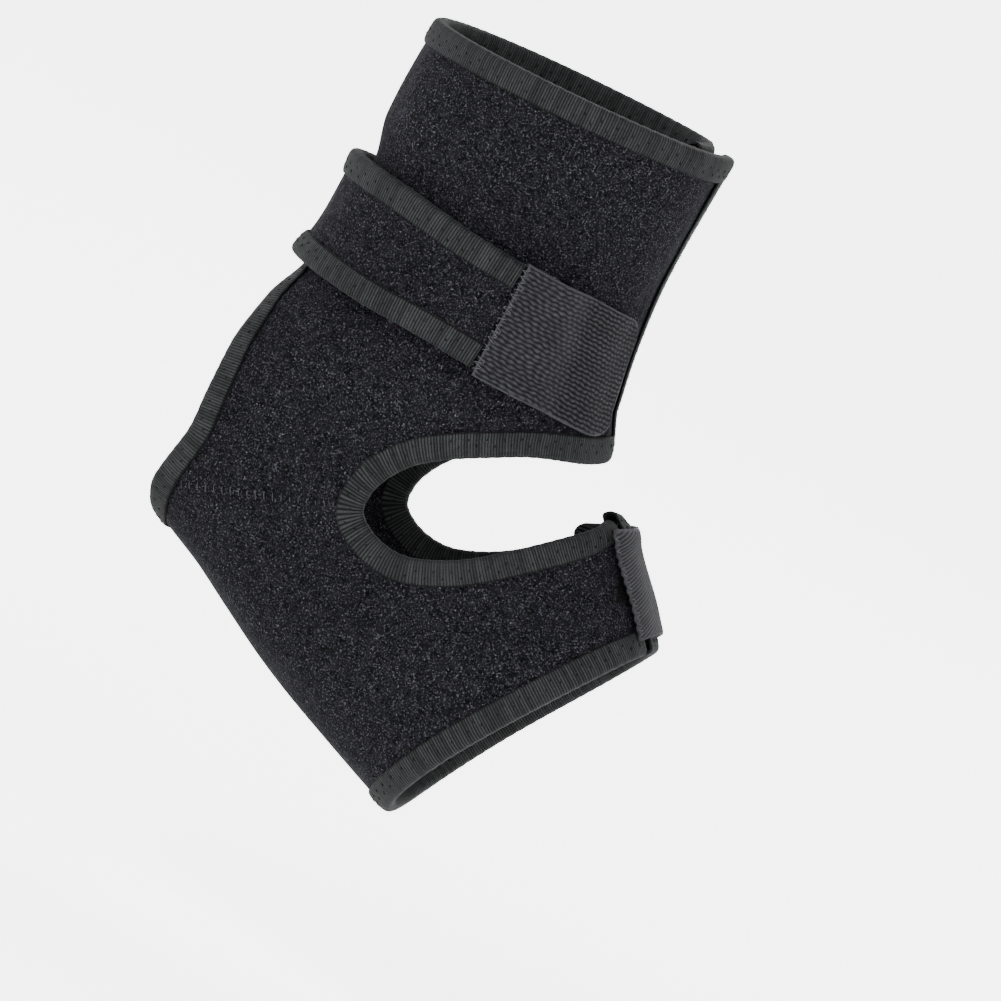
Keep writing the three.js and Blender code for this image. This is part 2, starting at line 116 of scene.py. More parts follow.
CUFF_RISE = CUFF_HEIGHT - FAN_Z
FAN_LENGTH = TOE_EDGE_ANGLE * DEGREE * FAN_RADIUS
GIRTH = (ANKLE_DEPTH + ANKLE_WIDTH) * math.pi / 2 / 360
CORNER_REACH = CLEARANCE + BINDING_TAPE
STRAP_FOOT = 2 * BINDING_TAPE + 3 * CLEARANCE
STRAP_TOP = STRAP_FOOT + NEOPRENE
STRAP_SIDE = STRAP_WIDTH / 2 - CORNER_REACH
STEP = 0.4
NEARLY_WHOLE = 0.999
TABLE_OVERRUN = 0.2
HEIGHT_PASSES = 12

# Columns: share of the cuff's rise (or of the fan, negative), front, depth, width, widest, square.
SECTIONS = np.array([
    (1.3, 1.09, 1.0, 1.15, 0.5, 2.15),
    (1.0, 1.102, 0.976, 1.12, 0.5, 2.15),
    (0.55, 1.1, 0.973, 1.05, 0.5, 2.15),
    (0.25, 1.063, 0.973, 0.98, 0.5, 2.15),
    (0, 1.008, 1.022, 0.95, 0.5, 2.15),
    (-0.1, 0.965, 1.126, 0.95, 0.48, 2.15),
    (-0.2, 0.94, 1.28, 0.96, 0.46, 2.15),
    (-0.32, 0.88, 1.45, 0.97, 0.45, 2.2),
    (-0.4, 0.845, 1.5, 0.98, 0.45, 2.25),
    (-0.46, 0.81, 1.42, 0.98, 0.47, 2.3),
    (-0.54, 0.803, 1.297, 0.99, 0.5, 2.35),
    (-0.7, 0.787, 1.149, 1.01, 0.54, 2.4),
    (-0.83, 0.79, 1.05, 1.04, 0.56, 2.4),
    (-1.0, 0.828, 0.934, 1.08, 0.57, 2.4),
    (-1.15, 0.88, 0.85, 1.1, 0.57, 2.4),
])

# The instep opening's outline from the side: shares of its reach and rise.
OPENING_REACH = 63
OPENING_RISE = 53
OPENING_X = 12.2
OPENING_Z = -23
OPENING = [(0.605, 0.89), (0.41, 0.758), (0.22, 0.61), (0.11, 0.494), (0.022, 0.32), (0, 0.185),
           (0.044, 0.064), (0.171, 0), (0.314, 0), (0.462, 0.072), (0.6, 0.18), (0.775, 0.366)]
CUFF_FRONT_ANGLE = 10.2
CUFF_CORNER_ANGLE = 10.6
CUFF_CORNER_PSI = 8
BAND_FRONT_ANGLE = 24
BAND_FRONT_LEAN = 0.1
BAND_CORNER_PSI = 10

# The heel opening: shares of the way down it, and half widths as shares of HEEL_WIDTH.
HEEL_WIDTH = 54
HEEL_TOP_ANGLE = 0.8
HEEL_FOOT_ANGLE = 28
HEEL = [(0.03, 0.07), (0.1, 0.14), (0.2, 0.23), (0.31, 0.33), (0.44, 0.41), (0.58, 0.46),
        (0.72, 0.48), (0.84, 0.44), (0.93, 0.34), (0.985, 0.18)]

# Fineness and detail of the looks. Heights, widths and pitches are in millimetres.
CELL = 1.5
EDGE_INSET = 1.6
CLOTH_SUNK = 0.15
INNER_UNEVEN = 0.4
STRAP_CROWN = 0.35
STRAP_FADE = 3
PATCH_BACK_GAP = 0.4
FLAP_MARGIN = 0.75

# The folded tapes and their ribs.
RIB_PITCH = 0.86
RIB_HEIGHT = 0.13
RIB_STEPS = 4
RIB_LEAST = 0.55
RIB_MOST = 1.3
TAPE_STAND = 0.95
TAPE_BEND = 2.6
TAPE_FOLD = 1.2
TAPE_INSIDE = 0.22
TAPE_SWAY = 0.05
TAPE_SWAY_TURN = 1.7
TAPE_FRINGE = 0.06

# The hook tape of the patch and of the tab.
HOOK_CELL = 0.4
HOOK_RIB_PITCH = 1.35
HOOK_RIB_HEIGHT = 0.32
PATCH_CREST = 0.28
TAB_RIB_PITCH = 1.2
TAB_RIB_LEAN = 0.33
TAB_RIB_HEIGHT = 0.26
TAB_CREST = 0.22
TAB_TRUE = 0.47
BRIGHTEST = 1.2

# The needle marks in the tapes, and the threads.
MARK_PITCH = 2.6
MARK_SPREAD = 2
MARK_LENGTH = 1.1
MARK_LIFT = 1.02
MARK_SUNK = 0.2
MARK_ASTRAY = 0.3
THREAD_TIP = 0.45
TINY = 1e-9


# The form

def ease(share):
    s = np.clip(share, 0, 1)
    return s * s * (3 - 2 * s)


KNOTS = SECTIONS.copy()
KNOTS[:, 0] *= np.where(KNOTS[:, 0] > 0, CUFF_RISE, FAN_LENGTH)
KNOTS = KNOTS[np.argsort(KNOTS[:, 0])]


def section_at(q):
    """The columns front, depth, width, widest and square at lengths q, by a cubic."""
    at = KNOTS[:, 0]
    last = len(at) - 1
    i = np.clip(np.searchsorted(at, q) - 1, 0, last - 1)
    before = np.maximum(np.arange(last + 1) - 1, 0)
    after = np.minimum(np.arange(last + 1) + 1, last)
    slopes = (KNOTS[after] - KNOTS[before]) / (at[after] - at[before])[:, None]
    span = at[i + 1] - at[i]
    s = np.clip((q - at[i]) / span, -TABLE_OVERRUN, 1 + TABLE_OVERRUN)[:, None]
    value = KNOTS[i] * (1 + 2 * s) * (1 - s) ** 2 + KNOTS[i + 1] * s * s * (3 - 2 * s)
    lean = slopes[i] * s * (1 - s) ** 2 + slopes[i + 1] * s * s * (s - 1)
    return (value + lean * span[:, None])[:, 1:].T


def form_point(psi, q):
    psi, q = np.broadcast_arrays(np.asarray(psi, float), np.asarray(q, float))
    front, depth, width, widest, square = section_at(q)
    c = np.cos(psi * DEGREE)
    s = np.sin(psi * DEGREE)
    k = (np.abs(c) ** square + np.abs(s) ** square) ** (-1 / square)
    reach = depth * ANKLE_DEPTH * np.where(c > 0, widest, 1 - widest)
    t = front * SHIN_REACH + depth * ANKLE_DEPTH * widest - c * k * reach
    angle = np.maximum(0, -q / FAN_RADIUS)
    x = FAN_X - t * np.cos(angle)
    z = np.where(q >= 0, FAN_Z + q, FAN_Z - t * np.sin(angle))
    return np.stack([x, -s * k * width * ANKLE_WIDTH / 2, z], axis=-1)


def point_at(place):
    return form_point(np.array([place[0]]), np.array([place[1]]))[0]


def form_frame(psi, q):
    around = (form_point(psi + STEP, q) - form_point(psi - STEP, q)) / (2 * STEP)
    along = (form_point(psi, q + STEP) - form_point(psi, q - STEP)) / (2 * STEP)
    normal = np.cross(along, around)
    return around, along, normal / np.linalg.norm(normal, axis=-1, keepdims=True)


def strap_middle(psi):
    return STRAP_HEIGHT + STRAP_RISE * np.sin(psi * DEGREE) - STRAP_LEAN * np.cos(psi * DEGREE)


def tuck(psi, q):
    cuff_foot = -CUFF_FRONT_ANGLE * DEGREE * FAN_RADIUS - TUCK_MARGIN
    upper = ease(1 + (q - cuff_foot) / TUCK_FADE)
    return TUCK_DEPTH * ease((psi - TUCK_FROM) / (TUCK_TO - TUCK_FROM)) * upper


def press(psi, q):
    beyond = np.abs(form_point(psi, q)[..., 2] - strap_middle(psi)) - STRAP_WIDTH / 2
    turned = psi % 360
    ahead = turned * GIRTH
    behind = (STRAP_SEWN_END - turned) * GIRTH + STRAP_SHOULDER
    round_share = ease(ahead / STRAP_SHOULDER) * ease(behind / STRAP_SHOULDER)
    return STRAP_PRESS * ease(1 - beyond / STRAP_SHOULDER) * round_share


def wrapped(psi, q, lift):
    """Points of a wrapped piece, lifted off the form."""
    psi = np.asarray(psi, float)
    q = np.asarray(q, float)
    normal = form_frame(psi, q)[2]
    height = np.asarray(lift - tuck(psi, q) - press(psi, q))
    return form_point(psi, q) + normal * height[..., None]


def length_at_height(psi, z):
    q = np.broadcast_to(z - FAN_Z, np.shape(psi)).astype(float).copy()
    for _ in range(HEIGHT_PASSES):
        slope = form_frame(psi, q)[1][..., 2]
        q = np.where(q < 0, q + (z - form_point(psi, q)[..., 2]) / slope, q)
    return q


def pattern_place(x, z):
    """Pattern place of a point of the outer side, seen from the side."""
    low = z < FAN_Z
    angle = math.atan2(FAN_Z - z, FAN_X - x) if low else 0
    t = math.hypot(FAN_Z - z, FAN_X - x) if low else FAN_X - x
    q = -angle * FAN_RADIUS if low else z - FAN_Z
    front, depth, width, widest, square = section_at(np.array([q]))[:, 0]
    ahead = front * SHIN_REACH + depth * ANKLE_DEPTH * widest - t
    reach = depth * ANKLE_DEPTH * (widest if ahead > 0 else 1 - widest)
    c = np.clip(ahead / reach, -NEARLY_WHOLE, NEARLY_WHOLE)
    s = (1 - abs(c) ** square) ** (1 / square)
    return math.atan2(s, c) / DEGREE, q


def back_place(q, distance):
    front, depth, width, widest, square = section_at(np.array([q]))[:, 0]
    s = min(NEARLY_WHOLE, distance / (width * ANKLE_WIDTH / 2))
    c = (1 - s ** square) ** (1 / square)
    return 180 - math.atan2(s, c) / DEGREE, q


# Edges of the pattern: arrays of (psi, q)

def fan_place(psi, angle):
    return psi, -angle * DEGREE * FAN_RADIUS


def mirrored(line):
    return np.stack([360 - line[:, 0], line[:, 1]], axis=1)


def even(points, closed, step):
    """A polyline stepped evenly."""
    if closed:
        points = np.vstack([points, points[:1]])
    gaps = np.linalg.norm(np.diff(points, axis=0), axis=1)
    run = np.concatenate([[0], np.cumsum(gaps)])
    count = max(2, round(run[-1] / step))
    at = np.linspace(0, run[-1], count + 1)
    if closed:
        at = at[:-1]
    return np.stack([np.interp(at, run, points[:, k]) for k in range(points.shape[1])], axis=1)


def smooth_line(places, closed, step):
    """A centripetal spline through pattern places."""
    p = np.array(places, float)
    p[:, 0] *= GIRTH
    count = len(p)
    fine = 24
    result = []
    for i in range(count if closed else count - 1):
        p1, p2 = p[i], p[(i + 1) % count]
        p0 = p[i - 1] if closed or i > 0 else 2 * p1 - p2
        p3 = p[(i + 2) % count] if closed or i + 2 < count else 2 * p2 - p1
        d0, d1, d2 = [math.sqrt(np.linalg.norm(b - a)) for a, b in ((p0, p1), (p1, p2), (p2, p3))]
        t1 = ((p1 - p0) / d0 - (p2 - p0) / (d0 + d1) + (p2 - p1) / d1) * d1
        t2 = ((p2 - p1) / d1 - (p3 - p1) / (d1 + d2) + (p3 - p2) / d2) * d1
        s = (np.arange(fine) / fine)[:, None]
        result.append(p1 + t1 * s + (3 * (p2 - p1) - 2 * t1 - t2) * s ** 2
                      + (2 * (p1 - p2) + t1 + t2) * s ** 3)
    if not closed:
        result.append(p[-1:])
    line = even(np.vstack(result), closed, step)
    line[:, 0] /= GIRTH
    return line


def rim_line(start, end, step):
    count = max(2, round(abs(end - start) * GIRTH / step))
    psi = np.linspace(start, end, count + 1)
    x = form_point(psi, np.full(len(psi), float(CUFF_RISE)))[:, 0]
    return np.stack([psi, CUFF_RISE + x * math.tan(CUFF_TILT * DEGREE)], axis=1)


def toe_line(start, end, step):
    count = max(2, round(abs(end - start) * GIRTH / step))
    psi = np.linspace(start, end, count + 1)
    rise = TOE_EDGE_RISE * np.sin(psi * DEGREE) ** 2
    return np.stack([psi, -(TOE_EDGE_ANGLE - rise) * DEGREE * FAN_RADIUS], axis=1)


def opening_line(cuff_end, band_end, step):
    places = [fan_place(cuff_end, CUFF_FRONT_ANGLE), fan_place(CUFF_CORNER_PSI, CUFF_CORNER_ANGLE)]
    places += [pattern_place(OPENING_X + x * OPENING_REACH, OPENING_Z + z * OPENING_RISE)
               for x, z in OPENING]
    if band_end < BAND_CORNER_PSI:
        places.append(fan_place(BAND_CORNER_PSI, BAND_FRONT_ANGLE + BAND_CORNER_PSI * BAND_FRONT_LEAN))
    places.append(fan_place(band_end, BAND_FRONT_ANGLE + band_end * BAND_FRONT_LEAN))
    return smooth_line(places, False, step)


def heel_line(step):
    foot = -HEEL_FOOT_ANGLE * DEGREE * FAN_RADIUS
    top = -HEEL_TOP_ANGLE * DEGREE * FAN_RADIUS
    half = [back_place(top + (foot - top) * at, share * HEEL_WIDTH) for at, share in HEEL]
    other = [(360 - psi, q) for psi, q in reversed(half)]
    return smooth_line([(180, top), *half, (180, foot), *other], True, step)


def flap_line(step):
    """The cuff's front edge, between the rim's tape and the instep opening's."""
    top = rim_line(OUTER_FLAP_TOP, OUTER_FLAP_TOP + 1, 1)[0, 1]
    foot = outer_opening[0, 1]
    margin = FLAP_MARGIN * BINDING_WIDTH / (top - foot)
    share = np.linspace(margin, 1 - margin, round((top - foot) / step))
    psi = OUTER_FLAP_TOP + (OUTER_FLAP_FOOT - OUTER_FLAP_TOP) * share
    return np.stack([psi, top + (foot - top) * share], axis=1)


def strap_half(psi):
    """Half the width between the strap's edges, narrower where the patch pulls."""
    return STRAP_SIDE * (1 - STRAP_NECK * ease((NECK_END - psi) / NECK_TURN))


def strap_line(start, end, side, step):
    count = max(2, round(abs(end - start) * GIRTH / step))
    psi = np.linspace(start, end, count + 1)
    return np.stack([psi, length_at_height(psi, strap_middle(psi) + side * strap_half(psi))], axis=1)


fine_step = RIB_PITCH / RIB_STEPS
outer_opening = opening_line(OUTER_FLAP_FOOT, BAND_OUTER_END, fine_step)
inner_opening = mirrored(opening_line(360 - INNER_FLAP_END, 360 - BAND_INNER_END, fine_step))
heel_opening = heel_line(fine_step)
rim = rim_line(OUTER_FLAP_TOP, INNER_FLAP_END, fine_step)
toe_edge = toe_line(BAND_OUTER_END, BAND_INNER_END, fine_step)
flap_edge = flap_line(fine_step)


# Meshes

def make_object(name, points, faces, material, smooth=True, values=None):
    """A piece from points in millimetres. values: per-point numbers that the material reads."""
    mesh = bpy.data.meshes.new(name)
    mesh.from_pydata((np.asarray(points) * MM).tolist(), [], faces)
    mesh.validate()
    for key, column in (values or {}).items():
        layer = mesh.attributes.new(key, "FLOAT", "POINT")
        layer.data.foreach_set("value", np.asarray(column, dtype=np.float32))
    mesh.polygons.foreach_set("use_smooth", [smooth] * len(mesh.polygons))
    mesh.materials.append(material)
    piece = bpy.data.objects.new(name, mesh)
    bpy.context.scene.collection.objects.link(piece)
    return piece


def finish_piece(piece, nodes=()):
    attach(piece, "root")
    if nodes:
        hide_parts(*nodes)
    return piece


def loft_faces(rings, width, closed_rings, start=0):
    """Quads between the rings of a loft."""
    faces = []
    for i in range(rings if closed_rings else rings - 1):
        a = start + i * width
        b = start + (i + 1) % rings * width
        for j in range(width):
            k = (j + 1) % width
            faces.append((a + j, a + k, b + k, b + j))
    return faces


def turned_out(points, faces):
    """The faces, turned over together if the solid is inside out."""
    p = np.asarray(points)
    index = np.array([f[:3] for f in faces] + [(f[0], *f[2:4]) for f in faces if len(f) > 3])
    a, b, c = p[index[:, 0]], p[index[:, 1]], p[index[:, 2]]
    if np.einsum("ij,ij->i", a, np.cross(b, c)).sum() > 0:
        return faces
    return [tuple(reversed(f)) for f in faces]


def grid_solid(name, psi, q, top, foot, material, values=None):
    """A closed sheet from two pattern grids: psi and q are (rows, columns), top and foot lifts."""
    rows, columns = psi.shape
    upper = wrapped(psi.ravel(), q.ravel(), np.broadcast_to(top, psi.shape).ravel())
    lower = wrapped(psi.ravel(), q.ravel(), np.broadcast_to(foot, psi.shape).ravel())
    count = rows * columns
    faces = []
    for i in range(rows - 1):
        for j in range(columns - 1):
            a = i * columns + j
            quad = (a, a + 1, a + columns + 1, a + columns)
            faces.append(quad)
            faces.append(tuple(count + v for v in reversed(quad)))
    border = list(range(columns))
    border += [i * columns + columns - 1 for i in range(1, rows)]
    border += [(rows - 1) * columns + j for j in range(columns - 2, -1, -1)]
    border += [i * columns for i in range(rows - 2, 0, -1)]
    for a, b in zip(border, border[1:] + border[:1]):
        faces.append((b, a, count + a, count + b))
    points = np.vstack([upper, lower])
    doubled = {key: np.tile(np.asarray(column).ravel(), 2) for key, column in (values or {}).items()}
    return make_object(name, points, turned_out(points, faces), material, values=doubled)


def inside(points, outline):
    """Which points lie in a closed outline, by crossings."""
    x, y = points[:, 0], points[:, 1]
    result = np.zeros(len(points), bool)
    for (x0, y0), (x1, y1) in zip(outline, np.roll(outline, -1, axis=0)):
        if y0 == y1:
            continue
        cross = (y0 > y) != (y1 > y)
        result ^= cross & (x < (x1 - x0) * (y - y0) / (y1 - y0) + x0)
    return result


def distance_to(points, outline):
    """The distance of each point to a closed outline's line."""
    best = np.full(len(points), np.inf)
    for a, b in zip(outline, np.roll(outline, -1, axis=0)):
        d = b - a
        s = np.clip(((points - a) @ d) / max(d @ d, TINY), 0, 1)
        best = np.minimum(best, np.linalg.norm(points - a - s[:, None] * d, axis=1))
    return best


def flat(line):
    return line * np.array([GIRTH, 1])


def relief(psi, q):
    """The soft cloth's broad unevenness, in millimetres: broad hollows and smaller creases."""
    hollow = 0.22
    crease = 0.12
    return (hollow * np.sin(psi * 0.11 + q * 0.052) * np.sin(q * 0.083 + 1.3)
            + crease * np.sin(psi * 0.23 - q * 0.12 + 0.7))


def make_body(material):
    """The neoprene wrap. Its stepped cut edges lie hidden in the bindings."""
    outline = flat(np.vstack([toe_edge[::RIB_STEPS], inner_opening[::-RIB_STEPS],
                              rim[::-RIB_STEPS], outer_opening[::RIB_STEPS]]))
    hole = flat(heel_opening[::RIB_STEPS])
    low = outline.min(axis=0)
    high = outline.max(axis=0)
    columns = math.ceil((high[0] - low[0]) / CELL)
    rows = math.ceil((high[1] - low[1]) / CELL)
    u, v = np.meshgrid(np.linspace(low[0], high[0], columns + 1),
                       np.linspace(low[1], high[1], rows + 1))
    places = np.stack([u.ravel(), v.ravel()], axis=1)
    kept = inside(places, outline) & ~inside(places, hole)
    kept &= distance_to(places, outline) > EDGE_INSET
    kept &= distance_to(places, hole) > EDGE_INSET
    kept = kept.reshape(rows + 1, columns + 1)
    cells = kept[:-1, :-1] & kept[1:, :-1] & kept[:-1, 1:] & kept[1:, 1:]
    wide = columns + 1
    count = len(places)
    faces = []
    sides = {}
    for i, j in zip(*np.nonzero(cells)):
        a = int(i * wide + j)
        quad = (a, a + 1, a + wide + 1, a + wide)
        faces.append(quad)
        faces.append(tuple(count + n for n in reversed(quad)))
        for n, m in zip(quad, quad[1:] + quad[:1]):
            if (m, n) in sides:
                del sides[(m, n)]
            else:
                sides[(n, m)] = True
    faces += [(m, n, count + n, count + m) for n, m in sides]
    psi, q = places[:, 0] / GIRTH, places[:, 1]
    uneven = relief(psi, q)
    points = np.vstack([wrapped(psi, q, uneven - CLOTH_SUNK),
                        wrapped(psi, q, uneven * INNER_UNEVEN - NEOPRENE)])
    used = np.unique(np.array(faces))
    place_of = np.full(len(points), -1)
    place_of[used] = np.arange(len(used))
    faces = [tuple(int(place_of[n]) for n in face) for face in faces]
    points = points[used]
    return make_object("brace_cloth", points, turned_out(points, faces), material)


def place_across(psi, q, direction, distance):
    """Pattern places moved across a line by true distances on the form."""
    around, along, _ = form_frame(psi, q)
    rr = (around * around).sum(-1)
    ra = (around * along).sum(-1)
    aa = (along * along).sum(-1)
    on_around = (around * direction).sum(-1) * distance
    on_along = (along * direction).sum(-1) * distance
    scale = rr * aa - ra * ra
    return psi + (on_around * aa - on_along * ra) / scale, q + (on_along * rr - on_around * ra) / scale


def line_frame(line, closed, off_side):
    """Direction off the edge at each place of a line, and the true run along it."""
    points = form_point(line[:, 0], line[:, 1])
    if closed:
        tangent = np.roll(points, -1, axis=0) - np.roll(points, 1, axis=0)
    else:
        tangent = np.gradient(points, axis=0)
    normal = form_frame(line[:, 0], line[:, 1])[2]
    direction = np.cross(normal, tangent) * off_side
    direction /= np.linalg.norm(direction, axis=1, keepdims=True)
    gaps = np.linalg.norm(np.diff(points, axis=0), axis=1)
    return direction, np.concatenate([[0], np.cumsum(gaps)])


def tape_profile(foot, top):
    """A tape folded over an edge, as rows of across, lift and how much rib: outside, then inside."""
    flat_steps = 9
    bend_steps = 6
    edge_height = 0.55
    edge_rib = 0.2
    swell_start = 0.1
    swell = 2.2
    bend_roundness = 0.9
    crest_roundness = 0.7
    fold_share = 0.6
    inner_end = CORNER_REACH - BINDING_WIDTH
    bend = CORNER_REACH - TAPE_BEND
    fold = CORNER_REACH - TAPE_FOLD
    middle = (foot + top) / 2
    half = (top - foot) / 2 + TAPE_STAND
    outer = []
    for s in np.linspace(0, 1, flat_steps):
        crown = edge_height + (1 - edge_height) * math.sin(min(1, s * swell + swell_start) * math.pi / 2)
        outer.append((inner_end + (bend - inner_end) * s, half - TAPE_STAND + TAPE_STAND * crown,
                      1 if s > 0 else edge_rib))
    for angle in np.linspace(0, 90, bend_steps)[1:]:
        outer.append((bend + TAPE_BEND * math.sin(angle * DEGREE) ** bend_roundness,
                      half * math.cos(angle * DEGREE) ** crest_roundness if angle < 90 else 0, 1))
    outer += [(a, -h, r) for a, h, r in reversed(outer[:-1])]
    inner_half = (top - foot) / 2 + TAPE_INSIDE
    inner = [(inner_end, -inner_half, 0), (bend, -inner_half, 0), (fold, -inner_half * fold_share, 0),
             (fold, inner_half * fold_share, 0), (bend, inner_half, 0), (inner_end, inner_half, 0)]
    return np.array([(a, middle + h, r) for a, h, r in outer + inner])


def make_binding(name, line, closed, off_side, foot, top, material, lengthen=(0, 0)):
    """A ribbed tape folded over an edge and carried along it."""
    line = with_ends(line, *lengthen) if any(lengthen) else line
    profile = tape_profile(foot, top)
    direction, run = line_frame(line, closed, off_side)
    count, width = len(line), len(profile)
    if closed:
        closing = np.linalg.norm(point_at(line[-1]) - point_at(line[0]))
        total = run[-1] + closing
        run = run * round(total / RIB_PITCH) * RIB_PITCH / total
    middle = (foot + top) / 2
    wave = 0.5 + 0.5 * np.cos(run * 2 * math.pi / RIB_PITCH)
    marks = np.arange(0, run[-1] + RIB_PITCH, RIB_PITCH)
    wander = np.interp(run, marks, chance.uniform(RIB_LEAST, RIB_MOST, len(marks)))
    # rib also colours the tape: painted shade in the valleys, painted light on the crests.
    rib = (wave * wander)[:, None] * profile[None, :, 2]
    psi = np.repeat(line[:, 0], width)
    q = np.repeat(line[:, 1], width)
    sway = TAPE_SWAY * np.sin(run * TAPE_SWAY_TURN)
    fringe = TAPE_FRINGE * rib * (profile[None, :, 0] > 0)
    across = profile[None, :, 0] + sway[:, None] + fringe
    heights = profile[None, :, 1] + np.sign(profile[None, :, 1] - middle) * (rib - 0.5) * RIB_HEIGHT
    psi, q = place_across(psi, q, np.repeat(direction, width, axis=0), across.ravel())
    points = wrapped(psi, q, heights.ravel())
    faces = loft_faces(count, width, closed)
    if not closed:
        for base, turn in ((0, 1), ((count - 1) * width, -1)):
            face = [base + j for j in range(width)]
            faces.append(tuple(face[::-turn]))
    quads = [f for f in faces if len(f) == 4]
    turned = turned_out(points, quads)
    if turned is not quads:
        faces = [tuple(reversed(f)) for f in faces]
    # The border rows, the tape's edge by the cloth and its hidden inside, are darkened in the material:
    # painted shade.
    border = np.tile((np.arange(width) < 1) | (profile[:, 2] == 0), count)
    values = {"rib": rib.ravel(), "border": border.astype(float)}
    return make_object(name, points, faces, material, values=values)


def with_ends(line, at_start, at_end):
    """The line with its ends carried on by true distances."""
    look_back = 12
    extra_steps = 5
    line = line.copy()
    for end, before, distance in ((0, look_back, at_start), (-1, -1 - look_back, at_end)):
        if distance == 0:
            continue
        length = np.linalg.norm(point_at(line[end]) - point_at(line[before]))
        step = (line[end] - line[before]) * distance / length
        extra = [line[end] + step * (i + 1) / extra_steps for i in range(extra_steps)]
        line = np.vstack([extra[::-1], line]) if end == 0 else np.vstack([line, extra])
    return line


def make_tubes(name, paths, radius, sides, material):
    """Closed round threads along paths of points in millimetres."""
    steep_share = 0.9
    points = []
    faces = []
    turn = np.arange(sides) * 2 * math.pi / sides
    for path in paths:
        path = np.asarray(path)
        tangent = np.gradient(path, axis=0)
        tangent /= np.linalg.norm(tangent, axis=1, keepdims=True) + TINY
        steep = np.abs(tangent[:, 2:]) > steep_share
        up = np.where(steep, [[1.0, 0, 0]], [[0, 0, 1.0]])
        side = np.cross(tangent, up)
        side /= np.linalg.norm(side, axis=1, keepdims=True)
        other = np.cross(tangent, side)
        ring = side[:, None] * np.cos(turn)[None, :, None] + other[:, None] * np.sin(turn)[None, :, None]
        taper = np.ones(len(path))
        taper[[0, -1]] = THREAD_TIP
        start = sum(len(p) for p in points)
        block = path[:, None] + ring * radius * taper[:, None, None]
        points.append(block.reshape(-1, 3))
        faces += loft_faces(len(path), sides, False, start=start)
        faces.append(tuple(start + j for j in reversed(range(sides))))
        last = start + (len(path) - 1) * sides
        faces.append(tuple(last + j for j in range(sides)))
    return make_object(name, np.vstack(points), faces, material)


def stitch_path(start, end, lift, sunk=0.35, steps=6):
    """One stitch between two pattern places: it dives in at both ends."""
    s = np.linspace(0, 1, steps)
    psi = start[0] + (end[0] - start[0]) * s
    q = start[1] + (end[1] - start[1]) * s
    return wrapped(psi, q, lift - sunk * (2 * np.abs(s - 0.5)) ** 3)


def needle_marks(line, closed, off_side, across, lift):
    """What shows of a zigzag seam: short dark stitches, sunk in the tape, in turn to each side."""
    direction, run = line_frame(line, closed, off_side)
    count = max(2, int(run[-1] / MARK_PITCH))
    at = (np.arange(count) + 0.5) * run[-1] / count + chance.uniform(-MARK_ASTRAY, MARK_ASTRAY, count)
    index = np.clip(np.searchsorted(run, at), 0, len(line) - 1)
    side = across + np.where(np.arange(count) % 2, MARK_SPREAD, -MARK_SPREAD) / 2
    ends = [place_across(line[index, 0], line[index, 1], direction[index], side + reach)
            for reach in (-MARK_LENGTH / 2, MARK_LENGTH / 2)]
    lean = [line[np.clip(index + shift, 0, len(line) - 1)] - line[index] for shift in (-1, 1)]
    return [stitch_path((ends[0][0][i] + lean[0][i, 0], ends[0][1][i] + lean[0][i, 1]),
                        (ends[1][0][i] + lean[1][i, 0], ends[1][1][i] + lean[1][i, 1]), lift, MARK_SUNK)
            for i in range(count)]


# Materials

def new_material(name):
    material = bpy.data.materials.new(name)
    material.use_nodes = True
    tree = material.node_tree
    return material, tree, tree.nodes["Principled BSDF"]


def ramp(tree, source, stops):
    node = tree.nodes.new("ShaderNodeValToRGB")
    elements = node.color_ramp.elements
    while len(elements) < len(stops):
        elements.new(0.5)
    for element, (at, level) in zip(elements, stops):
        element.position = at
        color = level if isinstance(level, tuple) else (level, level, level)
        element.color = (*color, 1)
    tree.links.new(source, node.inputs["Fac"])
    return node.outputs["Color"]


def noise(tree, scale, detail, rough):
    place = tree.nodes.new("ShaderNodeTexCoord").outputs["Object"]
    node = tree.nodes.new("ShaderNodeTexNoise")
    node.inputs["Scale"].default_value = scale
    node.inputs["Detail"].default_value = detail
    node.inputs["Roughness"].default_value = rough
    tree.links.new(place, node.inputs["Vector"])
    return node.outputs["Fac"]


# Places of the colour sockets on a Mix node.
MIX_FACTOR = 0
MIX_FIRST = 6
MIX_SECOND = 7
MIX_RESULT = 2


def mixed(tree, kind, first, second):
    """Two colours added or multiplied in full."""
    node = tree.nodes.new("ShaderNodeMix")
    node.data_type = "RGBA"
    node.blend_type = kind
    node.inputs[MIX_FACTOR].default_value = 1
    tree.links.new(first, node.inputs[MIX_FIRST])
    tree.links.new(second, node.inputs[MIX_SECOND])
    return node.outputs[MIX_RESULT]


def bump(tree, height, strength, distance, below=None):
    node = tree.nodes.new("ShaderNodeBump")
    node.inputs["Strength"].default_value = strength
    node.inputs["Distance"].default_value = distance
    tree.links.new(height, node.inputs["Height"])
    if below:
        tree.links.new(below, node.inputs["Normal"])
    return node.outputs["Normal"]


def attribute(tree, name):
    node = tree.nodes.new("ShaderNodeAttribute")
    node.attribute_name = name
    return node.outputs["Fac"]


